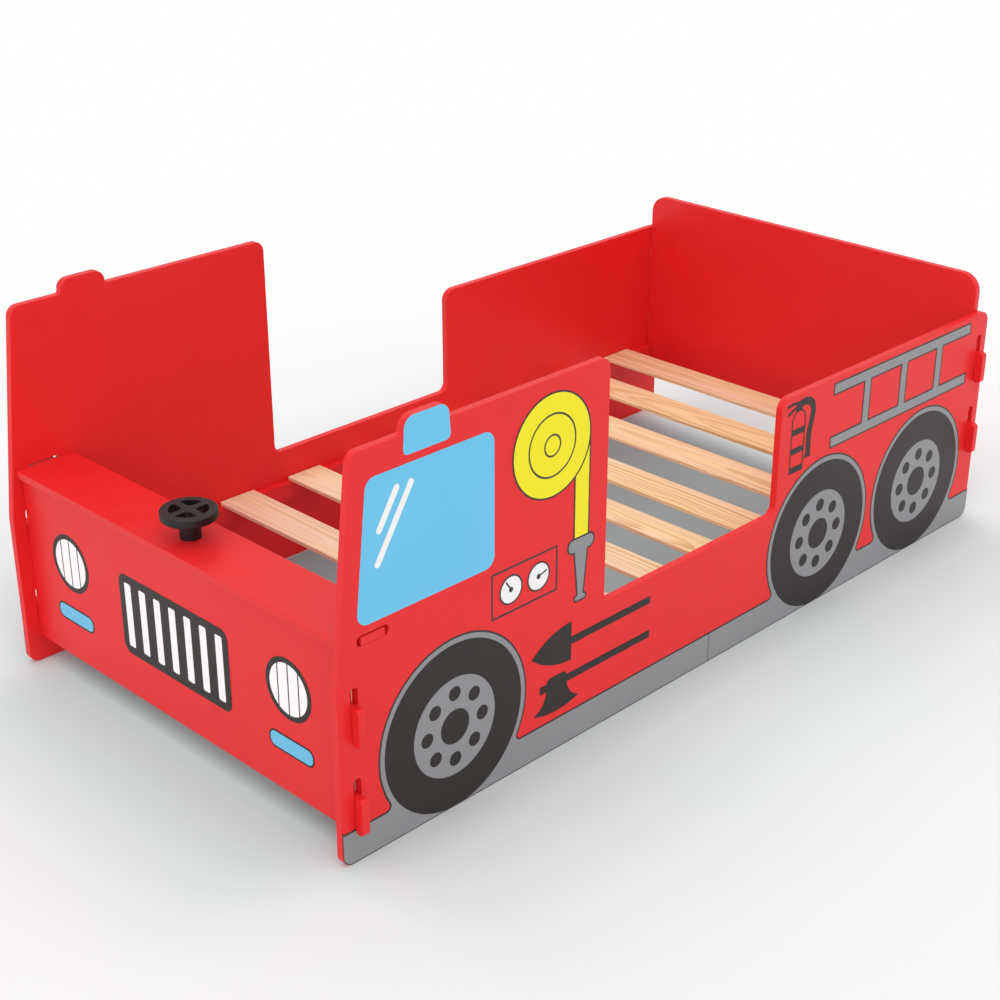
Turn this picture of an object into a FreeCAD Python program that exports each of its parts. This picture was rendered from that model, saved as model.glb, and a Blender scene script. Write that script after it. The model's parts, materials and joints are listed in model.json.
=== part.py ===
import FreeCAD, Part
import math
import os
import Sketcher
from FreeCAD import Placement, Rotation, Vector

# A child's bed in the shape of a fire engine: slotted painted boards, slats and a turning steering wheel.
# Frame: origin on the floor under the middle, +X to the headboard, -X to the bonnet, +Z up.

doc = FreeCAD.newDocument("fire_engine_bed")
sheet = doc.addObject("Spreadsheet::Sheet", "sizes")

# Driving dimensions in millimetres
SIZES = {
    # boards and the whole bed
    "board": 12.0,
    "edge_round": 1.0,
    "panel_gap": 0.3,
    "bed_length": 1477.0,
    "bed_width": 746.0,
    # outline of a side panel, lengths from its nearer end
    "cab_length": 492.5,
    "cab_height": 568.0,
    "cab_lean": 37.0,
    "nose_height": 246.0,
    "sill_height": 200.0,
    "rear_length": 587.0,
    "rear_height": 389.0,
    "foot_round": 17.0,
    "cab_round": 17.0,
    "rear_round": 20.0,
    "door_round": 15.0,
    "bend_round": 60.0,
    "beacon_setback": 159.0,
    "beacon_foot": 77.0,
    "beacon_crown": 72.0,
    "beacon_rise": 21.0,
    "beacon_round": 17.0,
    "beacon_fillet": 3.0,
    # hooks that drop into the side panels' slots
    "hook_height": 55.0,
    "hook_drop": 26.0,
    "hook_reach": 15.0,
    "hook_spacing": 132.5,
    "hook_round": 7.0,
    "slot_clear": 0.75,
    "head_slot_spare": 4.0,
    "slot_round": 6.0,
    "lip_gap": 0.6,
    # front panel, headboard and bonnet
    "front_setback": 22.5,
    "front_bottom": 42.5,
    "front_hook_bottom": 43.5,
    "head_setback": 16.0,
    "head_bottom": 104.0,
    "head_top": 452.5,
    "head_round": 32.0,
    "head_hook_bottom": 131.5,
    "head_slot_margin": 40.0,
    "bonnet_top": 322.0,
    "bonnet_depth": 99.6,
    "bonnet_overhang": 8.4,
    "bonnet_tab": 39.0,
    "bonnet_slot": 52.5,
    "bonnet_slot_play": 3.0,
    "bonnet_tab_lead": 1.5,
    # slats and the rails that carry them
    "rail_thickness": 12.0,
    "rail_height": 30.0,
    "rail_top": 144.0,
    "rail_end_gap": 2.0,
    "slat_thickness": 7.0,
    "slat_width": 69.0,
    "middle_slat_width": 57.0,
    "slat_pitch": 142.5,
    "middle_slat_pitch": 120.0,
    "front_slat_gap": 53.0,
    "head_slat_gap": 65.0,
    "slat_end_gap": 2.0,
    "slat_round": 1.5,
    # dowels and screws
    "fit_clear": 0.05,
    "dowel_diameter": 5.0,
    "dowel_length": 16.0,
    "dowel_in_slat": 4.0,
    "screw_diameter": 4.0,
    "screw_head": 8.0,
    "screw_length": 20.0,
    "screw_point": 4.0,
    "screw_setback": 60.0,
    "drill_rest": 1.0,
    # steering wheel and its bearing
    "wheel_diameter": 80.0,
    "wheel_thickness": 12.2,
    "wheel_rise": 42.3,
    "wheel_round": 2.0,
    "rim_width": 12.3,
    "spoke_width": 10.3,
    "hub_diameter": 21.3,
    "opening_round": 2.0,
    "column_diameter": 30.0,
    "bolt_diameter": 8.0,
    "bolt_head": 14.0,
    "bolt_head_height": 4.4,
    "bolt_key": 5.0,
    "bolt_key_depth": 2.5,
    "bolt_thread": 16.0,
    "insert_diameter": 12.0,
    "insert_length": 18.0,
    "bush_diameter": 12.0,
    "bush_flange": 20.0,
    "bush_flange_thickness": 2.0,
    "column_washer": 24.0,
    "bolt_washer": 18.0,
    "washer_thickness": 1.0,
    "washer_sink": 0.8,
    "running_clear": 0.05,
    "axial_play": 0.2,
    # printed films
    "film": 0.3,
    "line": 2.8,
    "tyre_radius": 125.0,
    "arch_width": 10.3,
    "arch_gap": 14.0,
    "hub_radius": 74.0,
    "cap_radius": 26.0,
    "lug_radius": 10.7,
    "lug_circle": 50.4,
    "front_axle": 199.5,
    "rear_axle": 181.0,
    "skirt_height": 51.2,
    "skirt_fillet": 7.0,
    "seam_line": 1.4,
    "hem_line": 1.2,
    "window_inset": 26.0,
    "window_drop": 39.0,
    "window_lift": 75.7,
    "window_gap": 32.4,
    "window_round": 17.0,
    "glint_width": 9.6,
    "beacon_print": 49.5,
    "beacon_print_foot": 80.0,
    "beacon_print_round": 8.0,
    "reel_top_gap": 19.6,
    "hose_setback": 35.8,
    "hose_width": 31.8,
    "hose_run": 76.2,
    "nozzle_width": 55.0,
    "nozzle_flange": 24.0,
    "nozzle_length": 101.0,
    "nozzle_gap": 20.5,
    "nozzle_neck": 32.0,
    "nozzle_tip": 14.0,
    "nozzle_lip": 26.0,
    "nozzle_lip_height": 12.0,
    "gauge_width": 126.0,
    "gauge_height": 68.6,
    "gauge_radius": 22.0,
    "gauge_spread": 52.8,
    "gauge_gap": 19.5,
    "gauge_drop": 12.0,
    "needle_dot": 4.0,
    "needle_length": 16.0,
    "needle_width": 2.6,
    "tool_gap": 10.4,
    "tool_length": 249.1,
    "shovel_drop": 36.0,
    "shovel_blade": 79.8,
    "shovel_width": 61.0,
    "tool_handle": 12.0,
    "axe_rise": 56.2,
    "axe_width": 92.5,
    "axe_depth": 45.0,
    "axe_neck": 41.0,
    "axe_belly": 8.0,
    "axe_setback": 16.7,
    "axe_middle": 51.0,
    "axe_poll": 13.0,
    "ladder_front": 134.0,
    "ladder_rear": 54.0,
    "ladder_top_gap": 9.0,
    "ladder_lift": 8.2,
    "ladder_bar": 21.0,
    "tank_setback": 28.0,
    "tank_width": 35.2,
    "tank_sink": 3.3,
    "tank_height": 105.0,
    "tank_band": 10.5,
    "tank_pitch": 32.0,
    "tank_line": 2.4,
    "tank_hose": 12.5,
    "tank_lever": 4.8,
    # printed front
    "lamp_spread": 500.0,
    "lamp_height": 205.0,
    "lamp_radius": 46.0,
    "lamp_rim": 8.0,
    "lamp_flute": 2.4,
    "flasher_length": 92.0,
    "flasher_width": 28.0,
    "flasher_drop": 88.0,
    "grille_length": 250.0,
    "grille_width": 128.0,
    "grille_height": 176.0,
    "grille_rim": 13.0,
    "grille_round": 16.0,
    "grille_bar": 15.0,
    "grille_bar_round": 3.0,
}

# Counts
MIDDLE_SLATS = 2
RAIL_SCREWS = 8
LUGS = 8
LADDER_RUNGS = 3
TANK_BANDS = 3
GRILLE_BARS = 7
LAMP_FLUTES = 3
SPOKES = 4

for row, (alias, number) in enumerate(SIZES.items(), start=1):
    cell = f"B{row}"
    sheet.set(f"A{row}", alias.replace("_", " "))
    sheet.set(cell, str(number))
    sheet.setAlias(cell, alias)
doc.recompute()


def size(alias):
    """A driving dimension, read from the sheet."""
    return float(sheet.get(alias))


# Expressions that several pieces share
HALF_WIDTH = "sizes.bed_width / 2"
INNER_HALF = "(sizes.bed_width / 2 - sizes.board)"
FRONT_END = "(-sizes.bed_length / 2)"
FRONT_FACE = "(-sizes.bed_length / 2 + sizes.front_setback)"
HEAD_FACE = "(sizes.bed_length / 2 - sizes.head_setback - sizes.board)"
BONNET_UNDER = "(sizes.bonnet_top - sizes.board)"
BONNET_FRONT = "(sizes.front_setback - sizes.bonnet_overhang)"
TAB_MIDDLE = "(sizes.bonnet_depth / 2 - sizes.bonnet_tab_lead)"

# Upright boards lie in their own XY plane: a side panel has X along the bed, a cross panel X across it
SIDE_TURN = Rotation(Vector(1, 0, 0), 90)
CROSS_TURN = Rotation(Vector(1, 1, 1), 120)

# Closeness at which two places are the same
SAME = 1e-4

# Largest share of a width, rise or foot that a round may take
ROUND_SHARE = 0.45
CROWN_ROUND_SHARE = 0.82
FOOT_FILLET_SHARE = 0.15


def new_sketch(body, name):
    """An empty sketch on the body's own XY plane."""
    sketch = body.newObject("Sketcher::SketchObject", name)
    plane = [item for item in body.Origin.OriginFeatures if item.Role == "XY_Plane"][0]
    sketch.AttachmentSupport = [(plane, "")]
    sketch.MapMode = "FlatFace"
    return sketch


def fix_point(sketch, geometry, point, x, y):
    """Hold a point of the sketch at a place given by two expressions."""
    for kind, expression in (("DistanceX", x), ("DistanceY", y)):
        number = sketch.addConstraint(Sketcher.Constraint(kind, -1, 1, geometry, point, 1.0))
        sketch.setExpression(f"Constraints[{number}]", expression)


def add_polygon(sketch, corners):
    """A closed outline through corners, each a pair of expressions."""
    count = len(corners)
    turn = 2 * math.pi / count
    loose = [Vector(math.cos(turn * i), math.sin(turn * i), 0) for i in range(count)]
    first = sketch.GeometryCount
    for i in range(count):
        sketch.addGeometry(Part.LineSegment(loose[i], loose[(i + 1) % count]))
    for i in range(count):
        following = first + (i + 1) % count
        sketch.addConstraint(Sketcher.Constraint("Coincident", first + i, 2, following, 1))
    for i, (x, y) in enumerate(corners):
        fix_point(sketch, first + i, 1, x, y)


def add_circle(sketch, x, y, diameter):
    """A circle whose centre and diameter are expressions."""
    number = sketch.addGeometry(Part.Circle(Vector(0, 0, 0), Vector(0, 0, 1), 1.0))
    fix_point(sketch, number, 3, x, y)
    limit = sketch.addConstraint(Sketcher.Constraint("Diameter", number, 1.0))
    sketch.setExpression(f"Constraints[{limit}]", diameter)


def upright_edges(feature, sketch, corners):
    """Names of the edges that rise from the given corners of a sketch."""
    places = [sketch.Geometry[i].StartPoint for i in corners]
    names = []
    for number, edge in enumerate(feature.Shape.Edges, start=1):
        low, high = edge.Vertexes[0].Point, edge.Vertexes[-1].Point
        if abs(low.z - high.z) < SAME:
            continue
        for place in places:
            if math.hypot(low.x - place.x, low.y - place.y) < SAME:
                if math.hypot(high.x - place.x, high.y - place.y) < SAME:
                    names.append(f"Edge{number}")
    return names


def rim_edges(feature):
    """Names of the outer edges of a board's two large faces."""
    flat = [face for face in feature.Shape.Faces if face.normalAt(0, 0).cross(Vector(0, 0, 1)).Length < SAME]
    flat.sort(key=lambda face: face.Area)
    rims = [edge for face in flat[-2:] for edge in face.OuterWire.Edges]
    return [f"Edge{number}" for number, edge in enumerate(feature.Shape.Edges, start=1)
            if any(edge.isSame(rim) for rim in rims)]


def add_fillet(body, base, names, radius):
    """A fillet of a body whose radius is an expression."""
    fillet = body.newObject("PartDesign::Fillet", "fillet")
    fillet.Base = (base, names)
    fillet.setExpression("Radius", radius)
    doc.recompute()
    return fillet


def add_pocket(body, sketch, depth):
    """A pocket that runs up from the body's XY plane."""
    pocket = body.newObject("PartDesign::Pocket", "pocket")
    pocket.Profile = sketch
    pocket.Reversed = True
    pocket.setExpression("Length", depth)
    doc.recompute()
    return pocket


def board_body(label, corners):
    """A painted board: padded outline, rounded corners, then a small round along its edges.

    Each corner is its two places and the radius of its round, as expressions, or None for a sharp one.
    """
    body = doc.addObject("PartDesign::Body", label)
    body.Label = label
    outline = new_sketch(body, label + "_outline")
    add_polygon(outline, [(x, y) for x, y, radius in corners])
    pad = body.newObject("PartDesign::Pad", label + "_pad")
    pad.Profile = outline
    pad.setExpression("Length", "sizes.board")
    doc.recompute()
    feature = pad
    for radius in dict.fromkeys(radius for x, y, radius in corners if radius):
        numbers = [i for i, corner in enumerate(corners) if corner[2] == radius]
        feature = add_fillet(body, feature, upright_edges(feature, outline, numbers), radius)
    add_fillet(body, feature, rim_edges(feature), "sizes.edge_round")
    return body


def cut_slots(body, rectangles, radius):
    """Slots with rounded ends right through a board."""
    slots = new_sketch(body, body.Label + "_slots")
    for corners in rectangles:
        add_polygon(slots, corners)
    pocket = add_pocket(body, slots, "sizes.board")
    numbers = range(slots.GeometryCount)
    add_fillet(body, pocket, upright_edges(pocket, slots, numbers), radius)


def rectangle(x_low, y_low, x_high, y_high):
    """The corners of an upright rectangle, as expressions."""
    return [(x_low, y_low), (x_high, y_low), (x_high, y_high), (x_low, y_high)]


def bind_place(item, turn, x="0", y="0", z="0"):
    """Turn a piece and bind its place to expressions."""
    item.Placement = Placement(Vector(0, 0, 0), turn)
    for axis, expression in (("x", x), ("y", y), ("z", z)):
        item.setExpression(f"Placement.Base.{axis}", expression)


# Hooks: a neck that rests in the slot and a lip that hangs outside it, lower and upper lip bottoms
FRONT_HOOKS = ["sizes.front_hook_bottom", "(sizes.front_hook_bottom + sizes.hook_spacing)"]
HEAD_HOOKS = ["sizes.head_hook_bottom",
              "(sizes.rear_height - sizes.head_slot_margin - sizes.head_slot_spare"
              " - sizes.hook_drop - sizes.hook_height)"]
HEEL_ROUND = "min(sizes.hook_round; (sizes.hook_reach - sizes.lip_gap) / 3)"


def hook_levels(low):
    """Expressions of a hook's neck bottom and top above its lip's bottom."""
    return f"({low} + sizes.hook_drop)", f"({low} + sizes.hook_height)"


def hook_slot(middle, low, spare):
    """The slot of one hook: at least as long as the lip, so that the lip passes before it drops."""
    neck, top = hook_levels(low)
    half = "(sizes.board / 2 + sizes.slot_clear)"
    bite = "(sizes.slot_round - sizes.slot_clear)"
    seat = f"(sizes.slot_round - sqrt(sizes.slot_round ^ 2 - {bite} ^ 2) + sizes.fit_clear)"
    return rectangle(f"{middle} - {half}", f"{neck} - {seat}", f"{middle} + {half}",
                     f"{top} + sizes.hook_drop + {spare}")


def hooked_edge(bottom, hooks, top, top_round):
    """Right-hand edge of a cross panel, upwards, with its hooks; corners as board_body takes them."""
    shoulder = f"({INNER_HALF} - sizes.panel_gap)"
    lip = f"({HALF_WIDTH} + sizes.lip_gap)"
    reach = f"({HALF_WIDTH} + sizes.hook_reach)"
    corners = [(shoulder, bottom, None)]
    for low in hooks:
        neck, high = hook_levels(low)
        corners += [(shoulder, neck, None), (lip, neck, None), (lip, low, HEEL_ROUND),
                    (reach, low, "sizes.hook_round"), (reach, high, "sizes.hook_round"),
                    (shoulder, high, None)]
    corners.append((shoulder, top, top_round))
    return corners


def cross_panel(label, bottom, hooks, top, top_round):
    """A board between the side panels with two hooks at each end."""
    right = hooked_edge(bottom, hooks, top, top_round)
    left = [(f"-{x}", y, radius) for x, y, radius in reversed(right)]
    return board_body(label, right + left)


# Side panels; the bend of the cab's front is a short flat that ends where its round would
DOOR_REAR = "(sizes.bed_length - sizes.rear_length)"
BEACON_TOP = "(sizes.cab_height + sizes.beacon_rise)"
LEAN = "atan(sizes.cab_lean / (sizes.cab_height - sizes.nose_height))"
BEND = f"(sizes.bend_round * tan({LEAN} / 2))"
CROWN_ROUND = f"min(sizes.beacon_round; sizes.beacon_rise * {CROWN_ROUND_SHARE})"
FOOT_FILLET = f"min(sizes.beacon_fillet; sizes.beacon_rise * {FOOT_FILLET_SHARE})"
SIDE_CORNERS = [
    ("0", "0", "sizes.foot_round"),
    ("sizes.bed_length", "0", "sizes.foot_round"),
    ("sizes.bed_length", "sizes.rear_height", "sizes.rear_round"),
    (DOOR_REAR, "sizes.rear_height", "sizes.rear_round"),
    (DOOR_REAR, "sizes.sill_height", "sizes.door_round"),
    ("sizes.cab_length", "sizes.sill_height", "sizes.door_round"),
    ("sizes.cab_length", "sizes.cab_height", "sizes.cab_round"),
    ("sizes.beacon_setback + sizes.beacon_foot / 2", "sizes.cab_height", FOOT_FILLET),
    ("sizes.beacon_setback + sizes.beacon_crown / 2", BEACON_TOP, CROWN_ROUND),
    ("sizes.beacon_setback - sizes.beacon_crown / 2", BEACON_TOP, CROWN_ROUND),
    ("sizes.beacon_setback - sizes.beacon_foot / 2", "sizes.cab_height", FOOT_FILLET),
    ("sizes.cab_lean", "sizes.cab_height", "sizes.cab_round"),
    (f"{BEND} * sin({LEAN})", f"sizes.nose_height + {BEND} * cos({LEAN})", None),
    ("0", f"sizes.nose_height - {BEND}", None),
]
SCREW_LEVEL = "(sizes.rail_top - sizes.rail_height / 2)"
RAIL_FRONT = "(sizes.front_setback + sizes.board + sizes.rail_end_gap)"
RAIL_LENGTH = ("(sizes.bed_length - sizes.front_setback - sizes.head_setback"
               " - 2 * sizes.board - 2 * sizes.rail_end_gap)")


def screw_places():
    """Expressions of the rail screws' places along the side panel."""
    first = f"({RAIL_FRONT} + sizes.screw_setback)"
    span = f"({RAIL_LENGTH} - 2 * sizes.screw_setback)"
    return [f"{first} + {span} * {i} / {RAIL_SCREWS - 1}" for i in range(RAIL_SCREWS)]


def side_panel(label, inner_level, place):
    """One side panel; inner_level is the height of its inner face in the body, as an expression."""
    body = board_body(label, SIDE_CORNERS)
    front_middle = "(sizes.front_setback + sizes.board / 2)"
    head_middle = "(sizes.bed_length - sizes.head_setback - sizes.board / 2)"
    slots = [hook_slot(front_middle, low, "0") for low in FRONT_HOOKS]
    slots += [hook_slot(head_middle, low, "sizes.head_slot_spare") for low in HEAD_HOOKS]
    tab_middle = f"({BONNET_FRONT} + {TAB_MIDDLE})"
    slots.append(rectangle(f"{tab_middle} - sizes.bonnet_slot / 2", BONNET_UNDER,
                           f"{tab_middle} + sizes.bonnet_slot / 2",
                           "sizes.bonnet_top + sizes.bonnet_slot_play"))
    cut_slots(body, slots, "min(sizes.slot_round; sizes.board / 2)")
    pilots = new_sketch(body, label + "_pilots")
    for x in screw_places():
        add_circle(pilots, x, SCREW_LEVEL, "sizes.screw_diameter + 2 * sizes.fit_clear")
    depth = "sizes.screw_length - sizes.rail_thickness + sizes.drill_rest"
    pocket = add_pocket(body, pilots, depth)
    if inner_level != "0":
        pilots.setExpression("AttachmentOffset.Base.z", inner_level)
        pocket.Reversed = False
    bind_place(body, SIDE_TURN, FRONT_END, place)
    return body


side_left = side_panel("side_panel_left", "0", f"-{INNER_HALF}")
side_right = side_panel("side_panel_right", "sizes.board", HALF_WIDTH)

# Front panel and headboard
front_panel = cross_panel("front_panel", "sizes.front_bottom", FRONT_HOOKS, BONNET_UNDER, None)
bind_place(front_panel, CROSS_TURN, FRONT_FACE)
headboard = cross_panel("headboard", "sizes.head_bottom", HEAD_HOOKS, "sizes.head_top", "sizes.head_round")
bind_place(headboard, CROSS_TURN, HEAD_FACE)


# Bonnet board with a tab at each end; the bush hole in its middle has a seat for the washer on top
def bonnet_board():
    half = f"({INNER_HALF} - sizes.panel_gap)"
    depth = "sizes.bonnet_depth"
    tab_low = f"({TAB_MIDDLE} - sizes.bonnet_tab / 2)"
    tab_high = f"({TAB_MIDDLE} + sizes.bonnet_tab / 2)"
    tip = HALF_WIDTH
    corners = [("0", f"-{half}"), (tab_low, f"-{half}"), (tab_low, f"-{tip}"), (tab_high, f"-{tip}"),
               (tab_high, f"-{half}"), (depth, f"-{half}"), (depth, half), (tab_high, half),
               (tab_high, tip), (tab_low, tip), (tab_low, half), ("0", half)]
    body = board_body("bonnet", [(x, y, None) for x, y in corners])
    hole = new_sketch(body, "bonnet_hole")
    add_circle(hole, "sizes.bonnet_depth / 2", "0", "sizes.bush_diameter + 2 * sizes.fit_clear")
    add_pocket(body, hole, "sizes.board")
    seat = new_sketch(body, "bonnet_seat")
    seat.setExpression("AttachmentOffset.Base.z", "sizes.board - sizes.washer_sink")
    add_circle(seat, "sizes.bonnet_depth / 2", "0", "sizes.column_washer + 2 * sizes.fit_clear")
    add_pocket(body, seat, "sizes.washer_sink")
    bind_place(body, Rotation(), f"{FRONT_END} + {BONNET_FRONT}", "0", BONNET_UNDER)
    return body


bonnet = bonnet_board()


# Shapes that repeat: each is made once and copied to its places
def plain_feature(label, shape, place=None):
    """A piece whose shape is set by the script."""
    item = doc.addObject("Part::Feature", label)
    item.Label = label
    item.Shape = shape
    if place:
        item.Placement = place
    return item


def drilled(label, base, tools):
    """A piece with holes, cut by a group of tool shapes."""
    drill = plain_feature(label + "_drill", Part.makeCompound(tools))
    cut = doc.addObject("Part::Cut", label)
    cut.Label = label
    cut.Base = base
    cut.Tool = drill
    return cut


def slat_middles():
    """Places of the slats' middles along the bed, front to rear, with their widths as aliases.

    Each end has as many wide slats as fit at their pitch beside the narrow ones.
    """
    front = -size("bed_length") / 2 + size("front_setback") + size("board")
    rear = size("bed_length") / 2 - size("head_setback") - size("board")
    first = front + size("front_slat_gap") + size("slat_width") / 2
    last = rear - size("head_slat_gap") - size("slat_width") / 2
    pitch = size("slat_pitch")
    step = size("middle_slat_pitch")
    room = last - first - (MIDDLE_SLATS + 1) * step
    end_slats = 1 + int(room // (2 * pitch))
    front_group = [(first + i * pitch, "slat_width") for i in range(end_slats)]
    rear_group = [(last - i * pitch, "slat_width") for i in reversed(range(end_slats))]
    middle_group = [(rear_group[0][0] - i * step, "middle_slat_width") for i in range(MIDDLE_SLATS, 0, -1)]
    return front_group + middle_group + rear_group


rail_face = size("bed_width") / 2 - size("board") - size("rail_thickness")
slat_tip = size("bed_width") / 2 - size("board") - size("slat_end_gap")
dowel_line = (rail_face + slat_tip) / 2
dowel_low = size("rail_top") + size("dowel_in_slat") - size("dowel_length")
side_signs = {"left": -1, "right": 1}


def dowel_shape(x, y, slack):
    """A dowel at a slat's end, or its hole with slack all round."""
    base = Vector(x, y, dowel_low - slack)
    return Part.makeCylinder(size("dowel_diameter") / 2 + slack, size("dowel_length") + 2 * slack, base)


# Slats
def slat(number, middle, width):
    label = f"slat_{number:02d}"
    box = doc.addObject("Part::Box", label + "_blank")
    box.setExpression("Length", f"sizes.{width}")
    box.setExpression("Width", f"2 * ({INNER_HALF} - sizes.slat_end_gap)")
    box.setExpression("Height", "sizes.slat_thickness")
    box.Placement = Placement(Vector(middle - size(width) / 2, -slat_tip, size("rail_top")), Rotation())
    doc.recompute()
    eased = doc.addObject("Part::Fillet", label + "_eased")
    eased.Base = box
    radius = min(size("slat_round"), size("slat_thickness") / 3)
    long_edges = [i for i, edge in enumerate(box.Shape.Edges, start=1)
                  if abs(edge.Length - 2 * slat_tip) < SAME]
    eased.Edges = [(i, radius, radius) for i in long_edges]
    holes = [dowel_shape(middle, sign * dowel_line, size("fit_clear")) for sign in side_signs.values()]
    return drilled(label, eased, holes)


slats = [slat(number, *place) for number, place in enumerate(slat_middles(), start=1)]


# Countersunk screw, head face at its origin and point along +Z
def screw_profile():
    radius = size("screw_diameter") / 2
    head = size("screw_head") / 2
    sink = head - radius
    length = size("screw_length")
    shank = length - size("screw_point")
    places = [(0, 0), (head, 0), (radius, sink), (radius, shank), (0, length)]
    points = [Vector(x, 0, z) for x, z in places + places[:1]]
    face = Part.Face(Part.makePolygon(points))
    return face.revolve(Vector(0, 0, 0), Vector(0, 0, 1), 360)


screw_shape = screw_profile()
screw_level = size("rail_top") - size("rail_height") / 2
rail_start = -size("bed_length") / 2 + size("front_setback") + size("board") + size("rail_end_gap")
rail_stop = size("bed_length") / 2 - size("head_setback") - size("board") - size("rail_end_gap")
screw_span = rail_stop - rail_start - 2 * size("screw_setback")
screw_step = screw_span / (RAIL_SCREWS - 1)
screw_xs = [rail_start + size("screw_setback") + screw_step * i for i in range(RAIL_SCREWS)]


def screw_place(x, sign):
    """Place of a rail screw, its point towards the side panel."""
    return Placement(Vector(x, sign * rail_face, screw_level), Rotation(Vector(1, 0, 0), -90 * sign))


def screw_hole(x, sign):
    """Countersunk clearance hole of a rail screw."""
    slack = size("fit_clear")
    radius = size("screw_diameter") / 2
    head = size("screw_head") / 2
    bore = Part.makeCylinder(radius + slack, size("rail_thickness"))
    sink = Part.makeCone(head + slack, radius + slack, head - radius)
    hole = bore.fuse(sink)
    hole.Placement = screw_place(x, sign)
    return hole


# Ledger rails, drilled for their screws and for the slats' dowels
def slat_rail(side, sign):
    label = f"slat_rail_{side}"
    box = doc.addObject("Part::Box", label + "_blank")
    box.setExpression("Length", RAIL_LENGTH)
    box.setExpression("Width", "sizes.rail_thickness")
    box.setExpression("Height", "sizes.rail_height")
    near = f"-{INNER_HALF}" if sign < 0 else f"{INNER_HALF} - sizes.rail_thickness"
    bind_place(box, Rotation(), f"{FRONT_END} + {RAIL_FRONT}", near, "sizes.rail_top - sizes.rail_height")
    holes = [screw_hole(x, sign) for x in screw_xs]
    holes += [dowel_shape(middle, sign * dowel_line, size("fit_clear")) for middle, width in slat_middles()]
    return drilled(label, box, holes)


rails = [slat_rail(side, sign) for side, sign in side_signs.items()]

screws = []
for sign in side_signs.values():
    for x in screw_xs:
        screw = screw_shape.copy()
        screw.Placement = screw_place(x, sign)
        screws.append(screw)
rail_screws = plain_feature("rail_screws", Part.makeCompound(screws))

dowels = [dowel_shape(middle, sign * dowel_line, 0) for sign in side_signs.values()
          for middle, width in slat_middles()]
slat_dowels = plain_feature("slat_dowels", Part.makeCompound(dowels))

# Steering wheel: heights above the floor along its axis, which stands in the middle of the bonnet
AXLE_X = f"({FRONT_END} + {BONNET_FRONT} + sizes.bonnet_depth / 2)"
WASHER_SEAT = "(sizes.bonnet_top - sizes.washer_sink)"
WASHER_TOP = f"({WASHER_SEAT} + sizes.washer_thickness)"
COLUMN_FOOT = f"({WASHER_TOP} + sizes.axial_play)"
WHEEL_TOP = "(sizes.bonnet_top + sizes.wheel_rise)"
WHEEL_UNDER = "(sizes.bonnet_top + sizes.wheel_rise - sizes.wheel_thickness)"
FLANGE_UNDER = f"({BONNET_UNDER} - sizes.bush_flange_thickness)"
HEAD_TOP = f"({FLANGE_UNDER} - sizes.axial_play - sizes.washer_thickness)"
THREAD_TOP = f"({COLUMN_FOOT} + sizes.bolt_thread)"
BORE = "(sizes.bolt_diameter + 2 * sizes.running_clear)"


def cylinder(name, diameter, low, high):
    """A cylinder about the steering axis between two heights."""
    item = doc.addObject("Part::Cylinder", name)
    item.setExpression("Radius", f"({diameter}) / 2")
    item.setExpression("Height", f"{high} - {low}")
    bind_place(item, Rotation(), AXLE_X, "0", low)
    return item


def fused(name, items):
    item = doc.addObject("Part::MultiFuse", name)
    item.Shapes = items
    item.Refine = True
    return item


def minus(label, base, tool):
    item = doc.addObject("Part::Cut", label)
    item.Label = label
    item.Base = base
    item.Tool = tool
    item.Refine = True
    return item


def steering_wheel():
    disc = cylinder("wheel_disc", "sizes.wheel_diameter", WHEEL_UNDER, WHEEL_TOP)
    inside = "sizes.wheel_diameter - 2 * sizes.rim_width"
    core = cylinder("wheel_core", inside, WHEEL_UNDER, WHEEL_TOP)
    hub = cylinder("wheel_hub", "sizes.hub_diameter", WHEEL_UNDER, WHEEL_TOP)
    spokes = [hub]
    for i in range(SPOKES // 2):
        spoke = doc.addObject("Part::Box", "wheel_spoke")
        spoke.setExpression("Length", "sizes.wheel_diameter")
        spoke.setExpression("Width", "sizes.spoke_width")
        spoke.setExpression("Height", "sizes.wheel_thickness")
        along, across = "sizes.wheel_diameter / 2", "sizes.spoke_width / 2"
        if i % 2:
            quarter = Rotation(Vector(0, 0, 1), 90)
            bind_place(spoke, quarter, f"{AXLE_X} + {across}", f"-{along}", WHEEL_UNDER)
        else:
            bind_place(spoke, Rotation(), f"{AXLE_X} - {along}", f"-{across}", WHEEL_UNDER)
        spokes.append(spoke)
    openings = minus("wheel_openings", core, fused("wheel_cross", spokes))
    rim = minus("wheel_rim", disc, openings)
    doc.recompute()
    rounded = doc.addObject("Part::Fillet", "wheel_rounded")
    rounded.Base = rim
    radius = size("wheel_diameter") / 2
    chosen = []
    for number, edge in enumerate(rim.Shape.Edges, start=1):
        start = edge.Vertexes[0].Point
        outside = abs(math.hypot(start.x - disc.Placement.Base.x, start.y) - radius) < SAME
        upright = edge.BoundBox.ZLength > SAME
        if upright and not outside:
            chosen.append((number, size("opening_round"), size("opening_round")))
        elif outside and not upright:
            chosen.append((number, size("wheel_round"), size("wheel_round")))
    rounded.Edges = chosen
    column = cylinder("wheel_column", "sizes.column_diameter", COLUMN_FOOT, WHEEL_UNDER)
    whole = fused("wheel_whole", [rounded, column])
    pocket = cylinder("insert_pocket", "sizes.insert_diameter + 2 * sizes.fit_clear", COLUMN_FOOT,
                      f"({COLUMN_FOOT} + sizes.insert_length)")
    return minus("steering_wheel", whole, pocket)


wheel = steering_wheel()

insert_blank = cylinder("insert_blank", "sizes.insert_diameter", COLUMN_FOOT,
                        f"({COLUMN_FOOT} + sizes.insert_length - sizes.fit_clear)")
insert_bore = cylinder("insert_bore", "sizes.bolt_diameter + 2 * sizes.fit_clear", COLUMN_FOOT,
                       f"({COLUMN_FOOT} + sizes.insert_length)")
wheel_insert = minus("wheel_insert", insert_blank, insert_bore)

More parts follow.
